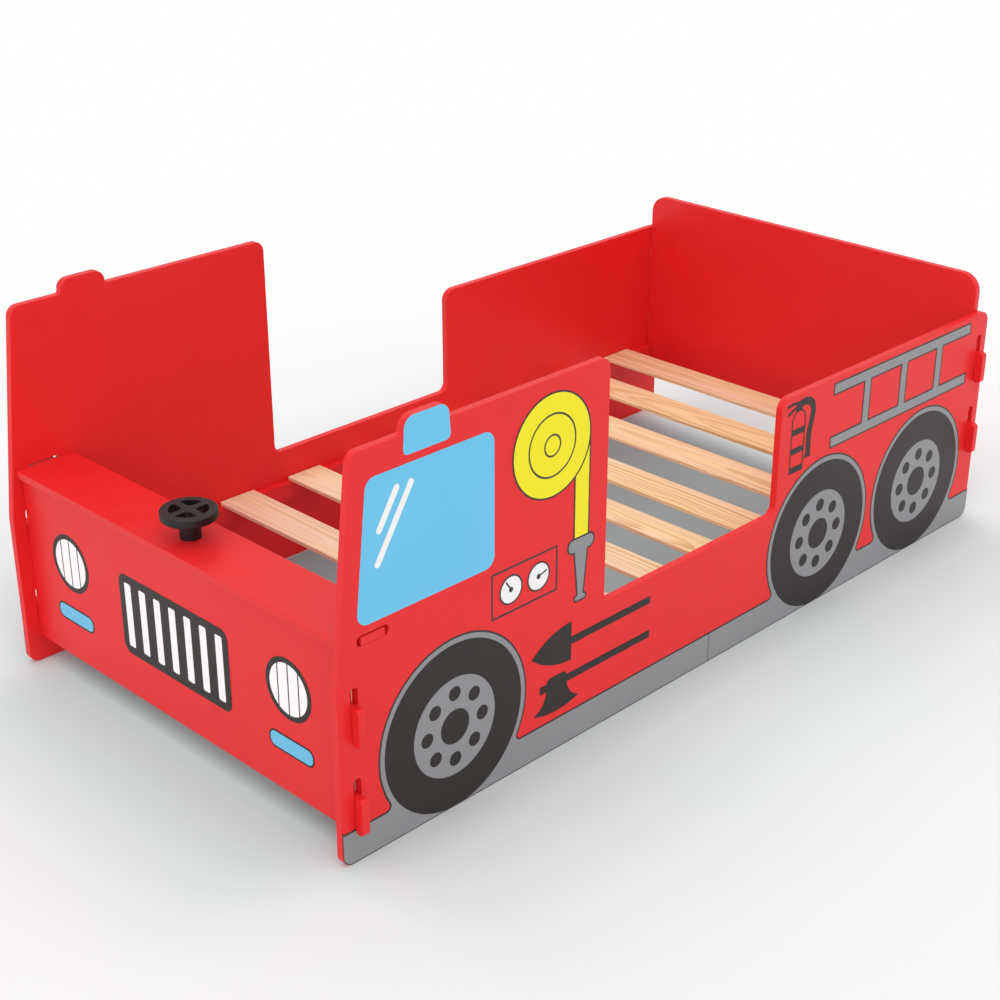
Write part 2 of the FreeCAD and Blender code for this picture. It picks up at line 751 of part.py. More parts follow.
bush_sleeve = cylinder("bush_sleeve", "sizes.bush_diameter", FLANGE_UNDER, WASHER_SEAT)
bush_flange = cylinder("bush_flange", "sizes.bush_flange", FLANGE_UNDER, BONNET_UNDER)
bush_bore = cylinder("bush_bore", BORE, FLANGE_UNDER, WASHER_SEAT)
wheel_bush = minus("wheel_bush", fused("bush_blank", [bush_sleeve, bush_flange]), bush_bore)

washer_blank = cylinder("column_washer_blank", "sizes.column_washer", WASHER_SEAT, WASHER_TOP)
washer_bore = cylinder("column_washer_bore", BORE, WASHER_SEAT, WASHER_TOP)
column_washer = minus("column_washer", washer_blank, washer_bore)

under_blank = cylinder("bolt_washer_blank", "sizes.bolt_washer", HEAD_TOP,
                       f"({HEAD_TOP} + sizes.washer_thickness)")
under_bore = cylinder("bolt_washer_bore", "sizes.bolt_diameter + 2 * sizes.fit_clear", HEAD_TOP,
                      f"({HEAD_TOP} + sizes.washer_thickness)")
bolt_washer = minus("bolt_washer", under_blank, under_bore)

bolt_shank = cylinder("bolt_shank", "sizes.bolt_diameter", HEAD_TOP, THREAD_TOP)
bolt_head = cylinder("bolt_head", "sizes.bolt_head", f"({HEAD_TOP} - sizes.bolt_head_height)", HEAD_TOP)
bolt_key = doc.addObject("Part::Prism", "bolt_key")
bolt_key.Polygon = 6
bolt_key.setExpression("Circumradius", "sizes.bolt_key / sqrt(3)")
bolt_key.setExpression("Height", "sizes.bolt_key_depth")
bind_place(bolt_key, Rotation(), AXLE_X, "0", f"({HEAD_TOP} - sizes.bolt_head_height)")
wheel_bolt = minus("wheel_bolt", fused("bolt_blank", [bolt_shank, bolt_head]), bolt_key)
doc.recompute()


# Printed films: flat faces in the panel's own plane, later given the film's thickness
def spot(x, y):
    return Vector(x, y, 0)


def disc_face(x, y, radius):
    return Part.Face(Part.Wire(Part.makeCircle(radius, spot(x, y))))


def polygon_face(points, radius=0):
    """A face through points, with its outer corners rounded."""
    vectors = [spot(x, y) for x, y in points]
    face = Part.Face(Part.makePolygon(vectors + vectors[:1]))
    if radius:
        face = face.makeOffset2D(-radius).makeOffset2D(radius)
    return face


def block_face(x_low, y_low, x_high, y_high, radius=0):
    return polygon_face([(x_low, y_low), (x_high, y_low), (x_high, y_high), (x_low, y_high)], radius)


def stroke_face(start, end, width):
    """A straight stroke with round ends."""
    first, last = spot(*start), spot(*end)
    along = (last - first).normalize() * (width / 2)
    across = Vector(-along.y, along.x, 0)
    edges = [Part.LineSegment(first - across, last - across).toShape(),
             Part.Arc(last - across, last + along, last + across).toShape(),
             Part.LineSegment(last + across, first + across).toShape(),
             Part.Arc(first + across, first - along, first - across).toShape()]
    return Part.Face(Part.Wire(edges))


def thick_path(points, width):
    """A bent stroke with round ends and bends."""
    path = Part.makePolygon([spot(x, y) for x, y in points])
    return Part.Face(path.makeOffset2D(width / 2))


def arc_face(points):
    """A face through points, where each odd one is the middle of an arc; None there means a straight run."""
    edges = []
    count = len(points)
    for i in range(0, count, 2):
        start, middle, end = points[i], points[i + 1], points[(i + 2) % count]
        if middle is None:
            edges.append(Part.LineSegment(spot(*start), spot(*end)).toShape())
        else:
            edges.append(Part.Arc(spot(*start), spot(*middle), spot(*end)).toShape())
    return Part.Face(Part.Wire(edges))


def joined(faces):
    """One face, or group of faces, that covers all of them."""
    whole = faces[0]
    if len(faces) > 1:
        whole = faces[0].fuse(faces[1:])
    found = whole.removeSplitter().Faces
    return found[0] if len(found) == 1 else Part.makeCompound(found)


def without(face, others):
    return face.cut(others)


def edge_line(face, width):
    """The band of a given width along a face's outline, inside it."""
    return face.cut(face.makeOffset2D(-width))


def film_shape(face, thickness):
    return Part.makeCompound([item.extrude(Vector(0, 0, thickness)) for item in face.Faces])


film = size("film")
line = size("line")

# Printable part of a side panel's outer face, flattened; it laps over part of the edge's round
EDGE_LAP_SHARE = 0.8
outer = max((face for face in side_left.Tip.Shape.Faces
             if face.normalAt(0, 0).z > 1 - SAME), key=lambda face: face.Area)
flat_face = outer.translated(Vector(0, 0, -size("board")))
flat_slots = [Part.Face(wire) for wire in flat_face.Wires if not wire.isSame(flat_face.OuterWire)]
lap = size("edge_round") * EDGE_LAP_SHARE
side_blank = Part.Face(flat_face.OuterWire).makeOffset2D(lap)
side_field = without(side_blank, flat_slots)

length = size("bed_length")
cab_end = size("cab_length")
rear_start = length - size("rear_length")
axle_level = size("tyre_radius")
arch_radius = size("tyre_radius") + size("arch_width")
rear_axle = length - size("rear_axle")
axles = [size("front_axle"), rear_axle - 2 * arch_radius - size("arch_gap"), rear_axle]


# Wheels
def lug_faces(axle):
    turn = 2 * math.pi / LUGS
    ring = size("lug_circle")
    return [disc_face(axle + ring * math.cos(turn * i), axle_level + ring * math.sin(turn * i),
                      size("lug_radius")) for i in range(LUGS)]


tyre_faces = []
hub_faces = []
for axle in axles:
    wheel_face = disc_face(axle, axle_level, size("hub_radius"))
    dark = lug_faces(axle) + [disc_face(axle, axle_level, size("cap_radius"))]
    tyre_faces.append(without(disc_face(axle, axle_level, size("tyre_radius")), [wheel_face]))
    tyre_faces += dark
    hub_faces.append(without(wheel_face, dark))

# Skirt, drawn past the panel's ends and foot: a line along its upper edge, which turns up at the front of the
# panel as round a post that stands there, and a finer line along its hem
tyre_blanks = [disc_face(axle, axle_level, size("tyre_radius")) for axle in axles]
band = block_face(-length, -length, 2 * length, size("skirt_height"))
arches = [disc_face(axle, axle_level, arch_radius) for axle in axles]
hollow = min(size("skirt_fillet"), size("arch_gap") * ROUND_SHARE)
post = block_face(-length, -length, 0, length)
skirt = joined([band, post] + arches).makeOffset2D(hollow).makeOffset2D(-hollow)
skirt_line = edge_line(skirt, line)
skirt_inside = without(skirt.makeOffset2D(-line), tyre_blanks)
hem_core = side_blank.makeOffset2D(-size("hem_line"))
hem = without(skirt_inside.common(side_blank), [hem_core])
skirt_fill = skirt_inside.common(hem_core)
half_seam = size("seam_line") / 2
seam_foot = size("hem_line") - lap
seam = block_face(length / 2 - half_seam, seam_foot, length / 2 + half_seam, size("skirt_height") - line)
front_half = block_face(-length, -length, length / 2, length)
skirt_plain = without(skirt_fill, [seam])
skirt_front = skirt_plain.common(front_half)
skirt_rear = skirt_plain.cut(front_half)

# Nozzle above the sill, its hose, and a reel that fills the room up to the cab's top
nozzle_foot = size("sill_height") + size("nozzle_gap")
hose_foot = nozzle_foot + size("nozzle_length")
hose_right = cab_end - size("hose_setback")
hose_left = hose_right - size("hose_width")
reel_foot = hose_foot + size("hose_run")
reel_radius = (size("cab_height") - size("reel_top_gap") - reel_foot) / 2
reel_x = hose_right - reel_radius
reel_y = reel_foot + reel_radius
REEL_RING_SHARES = (0.607, 0.217)
reel = disc_face(reel_x, reel_y, reel_radius)
hose_blank = joined([reel, block_face(hose_left, hose_foot, hose_right, reel_y)])
reel_core = disc_face(reel_x, reel_y, reel_radius - line)
reel_rings = [edge_line(disc_face(reel_x, reel_y, reel_radius * share), line) for share in REEL_RING_SHARES]
hose_face = without(block_face(hose_left + line, hose_foot, hose_right - line, reel_y), [reel])
hose_lines = reel_rings + [without(hose_blank, [reel_core, hose_face])]
hose = [without(reel_core, reel_rings), hose_face]

nozzle_x = (hose_left + hose_right) / 2
flange_foot = hose_foot - size("nozzle_flange")
lip_top = nozzle_foot + size("nozzle_lip_height")
half_neck, half_tip = size("nozzle_neck") / 2, size("nozzle_tip") / 2
flange_half, lip_half = size("nozzle_width") / 2, size("nozzle_lip") / 2
lip_round = size("nozzle_lip_height") * ROUND_SHARE
flange_round = size("nozzle_flange") * ROUND_SHARE
nozzle_outline = joined([
    block_face(nozzle_x - flange_half, flange_foot, nozzle_x + flange_half, hose_foot, flange_round),
    polygon_face([(nozzle_x - half_neck, flange_foot + flange_round),
                  (nozzle_x - half_tip, lip_top - lip_round),
                  (nozzle_x + half_tip, lip_top - lip_round),
                  (nozzle_x + half_neck, flange_foot + flange_round)]),
    block_face(nozzle_x - lip_half, nozzle_foot, nozzle_x + lip_half, lip_top, lip_round),
])
nozzle_line = edge_line(nozzle_outline, line)
nozzle = without(nozzle_outline, [nozzle_line])

# Window, parallel to the leaning front of the cab, with two glints
lean_share = size("cab_lean") / (size("cab_height") - size("nose_height"))
window_top = size("cab_height") - size("window_drop")
window_foot = axle_level + arch_radius + size("window_lift")
window_height = window_top - window_foot


def cab_front(level):
    return max(0, level - size("nose_height")) * lean_share + size("window_inset")


window_rear = reel_x - reel_radius - size("window_gap")
window_blank = polygon_face([(cab_front(window_foot), window_foot), (window_rear, window_foot),
                             (window_rear, window_top), (cab_front(window_top), window_top)],
                            size("window_round"))
window_length = window_rear - cab_front(window_foot)
GLINT_SHARES = [((0.299, 0.865), (0.174, 0.62)), ((0.399, 0.865), (0.157, 0.39))]
glints = []
for start, end in GLINT_SHARES:
    ends = [(cab_front(window_foot) + along * window_length, window_foot + up * window_height)
            for along, up in (start, end)]
    glints.append(stroke_face(ends[0], ends[1], size("glint_width")))
window = without(window_blank, glints)

# Beacon
beacon_x = size("beacon_setback")
beacon_top = size("cab_height") + size("beacon_rise")
beacon_foot = beacon_top - size("beacon_print")
beacon_half = size("beacon_print_foot") / 2
crown_half = size("beacon_crown") / 2
beacon = polygon_face([(beacon_x - beacon_half, beacon_foot), (beacon_x + beacon_half, beacon_foot),
                       (beacon_x + crown_half, beacon_top), (beacon_x - crown_half, beacon_top)],
                      size("beacon_print_round"))

# Gauge board
gauge_right = nozzle_x - flange_half - size("gauge_gap")
gauge_left = gauge_right - size("gauge_width")
gauge_top = window_foot - size("gauge_drop")
gauge_y = gauge_top - size("gauge_height") / 2
gauge_middle = (gauge_left + gauge_right) / 2
gauge_foot = gauge_top - size("gauge_height")
gauge_frame = edge_line(block_face(gauge_left, gauge_foot, gauge_right, gauge_top), line)
gauge_lines = [gauge_frame]
dials = []
NEEDLE_TURNS = (124, 17)
for sign, turn in zip((-1, 1), NEEDLE_TURNS):
    x = gauge_middle + sign * size("gauge_spread") / 2
    dial = disc_face(x, gauge_y, size("gauge_radius"))
    angle = math.radians(turn)
    tip = (x + size("needle_length") * math.cos(angle), gauge_y + size("needle_length") * math.sin(angle))
    marks = joined([disc_face(x, gauge_y, size("needle_dot")),
                    stroke_face((x, gauge_y), tip, size("needle_width"))])
    rim_line = edge_line(dial, line)
    gauge_lines += [rim_line, marks]
    dials.append(without(dial, [rim_line, marks]))


# Shovel and axe, beside the front wheel
tool_x = axles[0] + arch_radius + size("tool_gap")
tool_end = tool_x + size("tool_length")
shovel_y = size("sill_height") - size("shovel_drop")
handle_half = size("tool_handle") / 2
blade_x = tool_x + size("shovel_blade")
blade_half = size("shovel_width") / 2
bulge_along_share = 0.466
bulge_across_share = 0.735
bulge_x = tool_x + size("shovel_blade") * bulge_along_share
bulge_y = blade_half * bulge_across_share
shovel = joined([
    arc_face([(tool_x, shovel_y), (bulge_x, shovel_y - bulge_y), (blade_x, shovel_y - blade_half), None,
              (blade_x, shovel_y + blade_half), (bulge_x, shovel_y + bulge_y)]),
    block_face(blade_x - line, shovel_y - handle_half, tool_end, shovel_y + handle_half),
])
axe_y = size("skirt_height") + size("axe_rise")
axe_left = tool_x + size("axe_setback")
axe_middle = tool_x + size("axe_middle")
axe_foot = axe_y - size("axe_depth") + size("axe_belly")
axe_half, neck_half = size("axe_width") / 2, size("axe_neck") / 2
axe_poll = axe_y + size("axe_poll")
hollow_share = 0.58
hollow_x = neck_half + (axe_half - neck_half) * (1 - hollow_share)
hollow_y = axe_foot + (axe_y - axe_foot) * (1 - hollow_share) * hollow_share
axe = joined([
    block_face(axe_left, axe_y - handle_half, tool_end, axe_y + handle_half),
    arc_face([(axe_middle - neck_half, axe_y), (axe_middle - hollow_x, hollow_y),
              (axe_middle - axe_half, axe_foot), (axe_middle, axe_foot - size("axe_belly")),
              (axe_middle + axe_half, axe_foot), (axe_middle + hollow_x, hollow_y),
              (axe_middle + neck_half, axe_y), None]),
    block_face(axe_middle - neck_half, axe_y - handle_half, axe_middle + neck_half, axe_poll,
               (axe_poll - axe_y + handle_half) * ROUND_SHARE),
])

# Ladder along the rear body
ladder_left = rear_start + size("ladder_front")
ladder_right = length - size("ladder_rear")
ladder_top = size("rear_height") - size("ladder_top_gap")
ladder_foot = axle_level + arch_radius + size("ladder_lift")
bar = size("ladder_bar")
ladder_parts = [block_face(ladder_left, ladder_top - bar, ladder_right, ladder_top),
                block_face(ladder_left, ladder_foot, ladder_right, ladder_foot + bar)]
rung_step = (ladder_right - ladder_left) / (LADDER_RUNGS + 1)
RUNG_LEAN_SHARE = 0.05
for i in range(LADDER_RUNGS):
    x = ladder_left + rung_step * (i + 1 + RUNG_LEAN_SHARE * (i - 1))
    ladder_parts.append(block_face(x - bar / 2, ladder_foot, x + bar / 2, ladder_top))
ladder_outline = joined(ladder_parts)
ladder_line = edge_line(ladder_outline, line)
ladder = without(ladder_outline, [ladder_line])

# Extinguisher: tank, bands, lever and hose
tank_left = rear_start + size("tank_setback")
tank_right = tank_left + size("tank_width")
tank_foot = axle_level + arch_radius - size("tank_sink")
tank_top = tank_foot + size("tank_height")
tank_x = (tank_left + tank_right) / 2
tank_half = size("tank_width") / 2
shoulder = tank_top - tank_half
tank_outline = arc_face([(tank_left, tank_foot), None, (tank_right, tank_foot), None, (tank_right, shoulder),
                         (tank_x, tank_top), (tank_left, shoulder), None])
tank_inside = tank_outline.makeOffset2D(-size("tank_line"))
gaps = []
for i in range(TANK_BANDS):
    low = tank_foot + size("tank_pitch") * i + size("tank_band")
    high = tank_foot + size("tank_pitch") * (i + 1) if i + 1 < TANK_BANDS else tank_top
    gaps.append(tank_inside.common(block_face(tank_left, low, tank_right, high)))
tank = without(tank_outline, gaps)


def tank_spot(along, up):
    """A place given as shares of the tank's width from the top of its dome."""
    return tank_x + along * size("tank_width"), tank_top + up * size("tank_width")


HOSE_SHARES = [(-0.06, 0.23), (0.37, 0.3), (0.68, 0.24), (0.91, 0.06), (1.03, -0.2), (1.03, -0.455),
               (0.95, -0.795), (0.85, -1.14), (0.81, -1.53), (0.83, -1.99), (0.85, -2.3)]
LEVER_SHARES = [[(-0.87, 0.33), (-0.54, 0.385), (-0.145, 0.34)],
                [(-0.8, -0.06), (-0.54, 0.07), (-0.145, 0.17)]]
MOUTH_SHARES = [(0.665, -2.24), (0.52, -2.5), (1.06, -2.5), (1.02, -2.24)]
NECK_SHARES = [(-0.24, -0.06), (0.18, -0.06), (0.2, 0.3), (-0.25, 0.36)]
tank_hose = thick_path([tank_spot(*share) for share in HOSE_SHARES], size("tank_hose"))
tank_levers = [thick_path([tank_spot(*share) for share in shares], size("tank_lever"))
               for shares in LEVER_SHARES]
tank_mouth = polygon_face([tank_spot(*share) for share in MOUTH_SHARES])
tank_neck = polygon_face([tank_spot(*share) for share in NECK_SHARES])
valve = joined([tank_hose, tank_mouth, tank_neck] + tank_levers)
extinguisher = [without(valve, [tank_outline]), tank]

line_work = [skirt_line, hem, seam, nozzle_line, ladder_line] + hose_lines + gauge_lines
SIDE_PRINTS = {
    "tyres": tyre_faces,
    "hubs": hub_faces,
    "skirt_front": [skirt_front],
    "skirt_rear": [skirt_rear],
    "window": [window],
    "window_glints": glints,
    "beacon": [beacon],
    "hose": hose,
    "nozzle": [nozzle],
    "gauge_dials": dials,
    "tools": [shovel, axe],
    "ladder": [ladder],
    "extinguisher": extinguisher,
    "line_work": line_work,
}


def print_on_side(side, sign, name, faces):
    """A printed film on a side panel's outer face, kept to the panel's flat part."""
    group = Part.makeCompound([film_shape(face.common(side_field), film) for face in faces])
    face_y = sign * size("bed_width") / 2 + (film if sign > 0 else 0)
    place = Placement(Vector(-length / 2, face_y, 0), SIDE_TURN)
    solids = [solid.copy() for solid in group.Solids]
    return plain_feature(f"{side}_{name}", Part.makeCompound(solids), place)


prints = [print_on_side(side, sign, name, faces) for side, sign in side_signs.items()
          for name, faces in SIDE_PRINTS.items()]

# Printed front: round lamps with fluted glass, flashers and an upright grille
lamp_rims = []
lamp_glasses = []
flashers = []
for sign in side_signs.values():
    x = sign * size("lamp_spread") / 2
    y = size("lamp_height")
    glass = disc_face(x, y, size("lamp_radius") - size("lamp_rim"))
    reach = size("lamp_radius") - size("lamp_rim") / 2
    step = 2 * reach / (LAMP_FLUTES + 1)
    flutes = [block_face(x - reach + step * (i + 1) - size("lamp_flute") / 2, y - reach,
                         x - reach + step * (i + 1) + size("lamp_flute") / 2, y + reach)
              for i in range(LAMP_FLUTES)]
    rim = joined([without(disc_face(x, y, size("lamp_radius")), [glass])]
                 + [flute.common(glass) for flute in flutes])
    low = y - size("flasher_drop") - size("flasher_width") / 2
    flasher = block_face(x - size("flasher_length") / 2, low, x + size("flasher_length") / 2,
                         low + size("flasher_width"), size("flasher_width") * ROUND_SHARE)
    flasher_line = edge_line(flasher, line)
    lamp_rims += [rim, flasher_line]
    lamp_glasses.append(without(glass, [rim]))
    flashers.append(without(flasher, [flasher_line]))

half_length, half_width = size("grille_length") / 2, size("grille_width") / 2
grille_y = size("grille_height")
grille_blank = block_face(-half_length, grille_y - half_width, half_length, grille_y + half_width,
                          size("grille_round"))
rim = size("grille_rim")
bar_step = (2 * (half_length - rim) - size("grille_bar")) / (GRILLE_BARS - 1)
bar_foot, bar_top = grille_y - half_width + rim, grille_y + half_width - rim
grille_bars = []
for i in range(GRILLE_BARS):
    left = -half_length + rim + i * bar_step
    right = left + size("grille_bar")
    grille_bars.append(block_face(left, bar_foot, right, bar_top, size("grille_bar_round")))
FRONT_PRINTS = {
    "front_lamp_rims": lamp_rims,
    "front_lamp_glasses": lamp_glasses,
    "front_flashers": flashers,
    "front_grille": [without(grille_blank, grille_bars)],
    "front_grille_bars": grille_bars,
}
front_place = Placement(Vector(-length / 2 + size("front_setback") - film, 0, 0), CROSS_TURN)
for name, faces in FRONT_PRINTS.items():
    solids = [solid for face in faces for solid in film_shape(face, film).Solids]
    prints.append(plain_feature(name, Part.makeCompound(solids), front_place))

# Every piece that is written, each checked first
pieces = [side_left, side_right, front_panel, headboard, bonnet] + slats + rails
pieces += [rail_screws, slat_dowels, wheel, wheel_insert, wheel_bolt, bolt_washer, wheel_bush, column_washer]
pieces += prints
doc.recompute()

for item in doc.Objects:
    if "Invalid" in item.State or "Error" in item.State:
        raise RuntimeError(f"{item.Label} failed to recompute: {item.State}")
for piece in pieces:
    if piece.Shape.isNull() or not piece.Shape.isValid() or not piece.Shape.Solids:
        raise RuntimeError(f"{piece.Label} has no valid solid")

os.makedirs("parts", exist_ok=True)
for piece in pieces:
    piece.Shape.exportStep(os.path.join("parts", piece.Label + ".step"))
print(len(pieces), "pieces written")
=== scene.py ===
import json
import math

import bpy
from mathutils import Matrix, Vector


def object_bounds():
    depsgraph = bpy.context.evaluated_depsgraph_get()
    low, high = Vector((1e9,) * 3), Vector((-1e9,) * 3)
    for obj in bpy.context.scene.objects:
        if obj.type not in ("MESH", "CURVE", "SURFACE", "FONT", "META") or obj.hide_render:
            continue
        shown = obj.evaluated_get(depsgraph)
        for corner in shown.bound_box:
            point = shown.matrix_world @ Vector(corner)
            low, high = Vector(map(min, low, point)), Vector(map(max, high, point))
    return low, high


# A child's fire engine bed: painted boards, printed films, pine slats and a small steering wheel
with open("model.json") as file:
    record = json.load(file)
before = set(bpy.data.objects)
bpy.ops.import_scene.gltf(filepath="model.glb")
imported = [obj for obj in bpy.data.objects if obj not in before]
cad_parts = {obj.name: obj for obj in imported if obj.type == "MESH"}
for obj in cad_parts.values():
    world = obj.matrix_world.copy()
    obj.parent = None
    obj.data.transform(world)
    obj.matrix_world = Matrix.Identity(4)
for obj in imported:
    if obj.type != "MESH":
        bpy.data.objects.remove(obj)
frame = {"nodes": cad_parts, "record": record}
cad_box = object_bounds()

# Ranges: where most of a noise texture's values lie, a whole share, and a share that falls
MIDDLE = (0.3, 0.7)
RISING = (0.0, 1.0)
FALLING = (1.0, 0.0)

BLACK = (0, 0, 0, 1)
WHITE = (1, 1, 1, 1)


# Node helpers: a value is a constant or another node's output, and lengths are in metres
def put(tree, socket, value):
    """A constant is set on the socket, and an output is linked to it."""
    if isinstance(value, bpy.types.NodeSocket):
        tree.links.new(value, socket)
    else:
        socket.default_value = value


def add(tree, kind, inputs=None, **settings):
    """A node with its settings and inputs."""
    node = tree.nodes.new(kind)
    for name, value in settings.items():
        setattr(node, name, value)
    for name, value in (inputs or {}).items():
        put(tree, node.inputs[name], value)
    return node


def math_node(tree, operation, first, second=0.0):
    """The result of one operation on two values."""
    return add(tree, "ShaderNodeMath", {0: first, 1: second}, operation=operation).outputs[0]


def total(tree, first, *others):
    """The sum of several values."""
    for other in others:
        first = math_node(tree, "ADD", first, other)
    return first


def product(tree, first, *others):
    """The product of several values."""
    for other in others:
        first = math_node(tree, "MULTIPLY", first, other)
    return first


def less(tree, first, second):
    """The first value less the second."""
    return math_node(tree, "SUBTRACT", first, second)


def split(tree, vector):
    """The X, Y and Z of a vector."""
    return add(tree, "ShaderNodeSeparateXYZ", {"Vector": vector}).outputs


def join(tree, axes):
    """A vector from values for some of its axes."""
    return add(tree, "ShaderNodeCombineXYZ", axes).outputs["Vector"]


def dot(tree, first, second):
    """The dot product of two vectors."""
    return add(tree, "ShaderNodeVectorMath", {0: first, 1: second}, operation="DOT_PRODUCT").outputs["Value"]


def mix_colour(tree, share, first, second):
    """A colour between two, by a share."""
    return add(tree, "ShaderNodeMix", {0: share, 6: first, 7: second}, data_type="RGBA").outputs[2]


def spread(tree, value, given, wanted, **settings):
    """A value moved from one range to another, held at its ends."""
    inputs = {"Value": value, "From Min": given[0], "From Max": given[1],
              "To Min": wanted[0], "To Max": wanted[1]}
    return add(tree, "ShaderNodeMapRange", inputs, **settings).outputs["Result"]


def fading(tree, distance, start, end):
    """One up to the start, falling off smoothly to nothing at the end."""
    return spread(tree, distance, (start, end), FALLING, interpolation_type="SMOOTHSTEP")


def places(tree, scale=(1, 1, 1), offset=None):
    """Places on the object, stretched along its axes and moved by an output."""
    source = add(tree, "ShaderNodeTexCoord").outputs["Object"]
    mapping = add(tree, "ShaderNodeMapping", {"Vector": source, "Scale": scale})
    if offset is not None:
        tree.links.new(offset, mapping.inputs["Location"])
    return mapping.outputs["Vector"]


def noise(tree, vector, scale=1.0, detail=3.0, roughness=0.55):
    inputs = {"Vector": vector, "Scale": scale, "Detail": detail, "Roughness": roughness}
    return add(tree, "ShaderNodeTexNoise", inputs).outputs["Fac"]


def bump(tree, height, strength, distance, under=None):
    """A bumped normal, over another one if it is given."""
    inputs = {"Height": height, "Strength": strength, "Distance": distance}
    if under is not None:
        inputs["Normal"] = under
    return add(tree, "ShaderNodeBump", inputs).outputs["Normal"]


def edge_mask(tree, radius):
    """One along sharp edges and zero on flat faces."""
    flat_to_sharp = (0.995, 0.8)
    soft = add(tree, "ShaderNodeBevel", {"Radius": radius}, samples=4).outputs["Normal"]
    plain = add(tree, "ShaderNodeNewGeometry").outputs["Normal"]
    return spread(tree, dot(tree, soft, plain), flat_to_sharp, RISING)


def empty_tree(owner):
    """The node tree of a new material or world, with nothing in it."""
    owner.use_nodes = True
    owner.node_tree.nodes.clear()
    return owner.node_tree


def new_material(name):
    """A material with one principled shader; its tree and shader come with it."""
    material = bpy.data.materials.new(name)
    tree = empty_tree(material)
    shader = add(tree, "ShaderNodeBsdfPrincipled")
    add(tree, "ShaderNodeOutputMaterial", {"Surface": shader.outputs["BSDF"]})
    return material, tree, shader


def set_inputs(tree, shader, **inputs):
    """The shader's inputs by name, with an underscore for each space."""
    for name, value in inputs.items():
        put(tree, shader.inputs[name.replace("_", " ")], value)


# Painted boards: satin lacquer rolled over smooth fibreboard, with a painted highlight in patches along the
# edges
def painted_board(name, deep, bright, edge_highlight_colour):
    material, tree, shader = new_material(name)
    broad = noise(tree, places(tree), scale=2.6, detail=4.0)
    cloud = noise(tree, places(tree), scale=21.0, detail=5.0, roughness=0.6)
    share = total(tree, spread(tree, broad, MIDDLE, (0.0, 0.7)), spread(tree, cloud, MIDDLE, (0.0, 0.3)))
    colour = mix_colour(tree, share, deep, bright)
    patches = spread(tree, noise(tree, places(tree), scale=55.0), (0.42, 0.68), (0.1, 0.7))
    # Painted highlight: a paler red in patches along the edges
    edge_highlight_share = product(tree, edge_mask(tree, radius=0.0016), patches)
    colour = mix_colour(tree, edge_highlight_share, colour, edge_highlight_colour)
    peel = noise(tree, places(tree), scale=420.0, detail=2.0)
    pores = noise(tree, places(tree), scale=1500.0, detail=2.0)
    rolled = bump(tree, peel, strength=0.07, distance=0.0006)
    normal = bump(tree, pores, strength=0.05, distance=0.0002, under=rolled)
    rough = total(tree, spread(tree, cloud, MIDDLE, (0.33, 0.43)),
                  spread(tree, pores, (0.4, 0.7), (0.0, 0.05)))
    set_inputs(tree, shader, Base_Color=colour, Roughness=rough, Normal=normal, Specular_IOR_Level=0.28)
    return material


# Printed films: flat ink under a satin coat, with a faint grain
def printed_film(name, deep, bright, level=0.4):
    material, tree, shader = new_material(name)
    broad = noise(tree, places(tree), scale=9.0, detail=4.0)
    grain = noise(tree, places(tree), scale=900.0, detail=2.0)
    share = total(tree, spread(tree, broad, MIDDLE, (0.0, 0.6)), spread(tree, grain, MIDDLE, (0.0, 0.4)))
    colour = mix_colour(tree, share, deep, bright)
    laid = bump(tree, noise(tree, places(tree), scale=60.0, detail=2.0), strength=0.05, distance=0.0008)
    normal = bump(tree, grain, strength=0.04, distance=0.0002, under=laid)
    rough = spread(tree, broad, MIDDLE, (0.32, 0.42))
    set_inputs(tree, shader, Base_Color=colour, Roughness=rough, Normal=normal, Specular_IOR_Level=level)
    return material


# Pine: uneven growth rings about a pith that leans under the slat, streaks, fibres and a few small knots
# The slat's width, length and thickness are those that the rings are drawn for
SLAT_BOX = (0.066, 0.718, 0.007)
PITH_DEPTH = 0.02
RINGS_PER_METRE = 150.0
PINE_COLOURS = {
    "yellow": (0.895, 0.64, 0.345, 1),
    "pink": (0.9, 0.635, 0.465, 1),
    "gleam": (0.93, 0.725, 0.475, 1),
    "fibre": (0.73, 0.445, 0.205, 1),
    "late_wood": (0.64, 0.36, 0.135, 1),
    "knot": (0.34, 0.14, 0.055, 1),
    # The edge colour is a painted highlight along the slats' edges
    "edge_highlight_colour": (0.88, 0.68, 0.47, 1),
}


def slat_chances(tree):
    """Three chances of each slat's own, and the shift that the first one gives its textures."""
    first = add(tree, "ShaderNodeObjectInfo").outputs["Random"]
    second = math_node(tree, "FRACT", product(tree, first, 7.31))
    third = math_node(tree, "FRACT", product(tree, first, 13.7))
    shift = join(tree, {"X": product(tree, first, 37.0), "Y": product(tree, first, 11.0),
                        "Z": product(tree, first, 53.0)})
    return first, second, third, shift


def pith_distance(tree, first, second, third, shift):
    """How far each place lies from the pith, with the sway and the uneven years of the rings."""
    inside = split(tree, add(tree, "ShaderNodeTexCoord").outputs["Generated"])
    across, along, up = [product(tree, less(tree, inside[axis], 0.5), length)
                         for axis, length in zip("XYZ", SLAT_BOX)]
    drift = product(tree, along, spread(tree, second, RISING, (-0.03, 0.03)))
    pith = total(tree, spread(tree, first, RISING, (-0.04, 0.04)), drift)
    lean = product(tree, along, spread(tree, third, RISING, (-0.05, 0.05)))
    side = less(tree, across, pith)
    below = total(tree, lean, PITH_DEPTH, up)
    reach = math_node(tree, "SQRT", total(tree, product(tree, side, side), product(tree, below, below)))
    sway = noise(tree, places(tree, (16, 2.2, 16), shift))
    reach = total(tree, reach, spread(tree, sway, (0.2, 0.8), (-0.006, 0.006)))
    years = noise(tree, join(tree, {"X": product(tree, reach, 70.0), "Y": first}))
    return total(tree, reach, spread(tree, years, (0.2, 0.8), (-0.008, 0.008)))


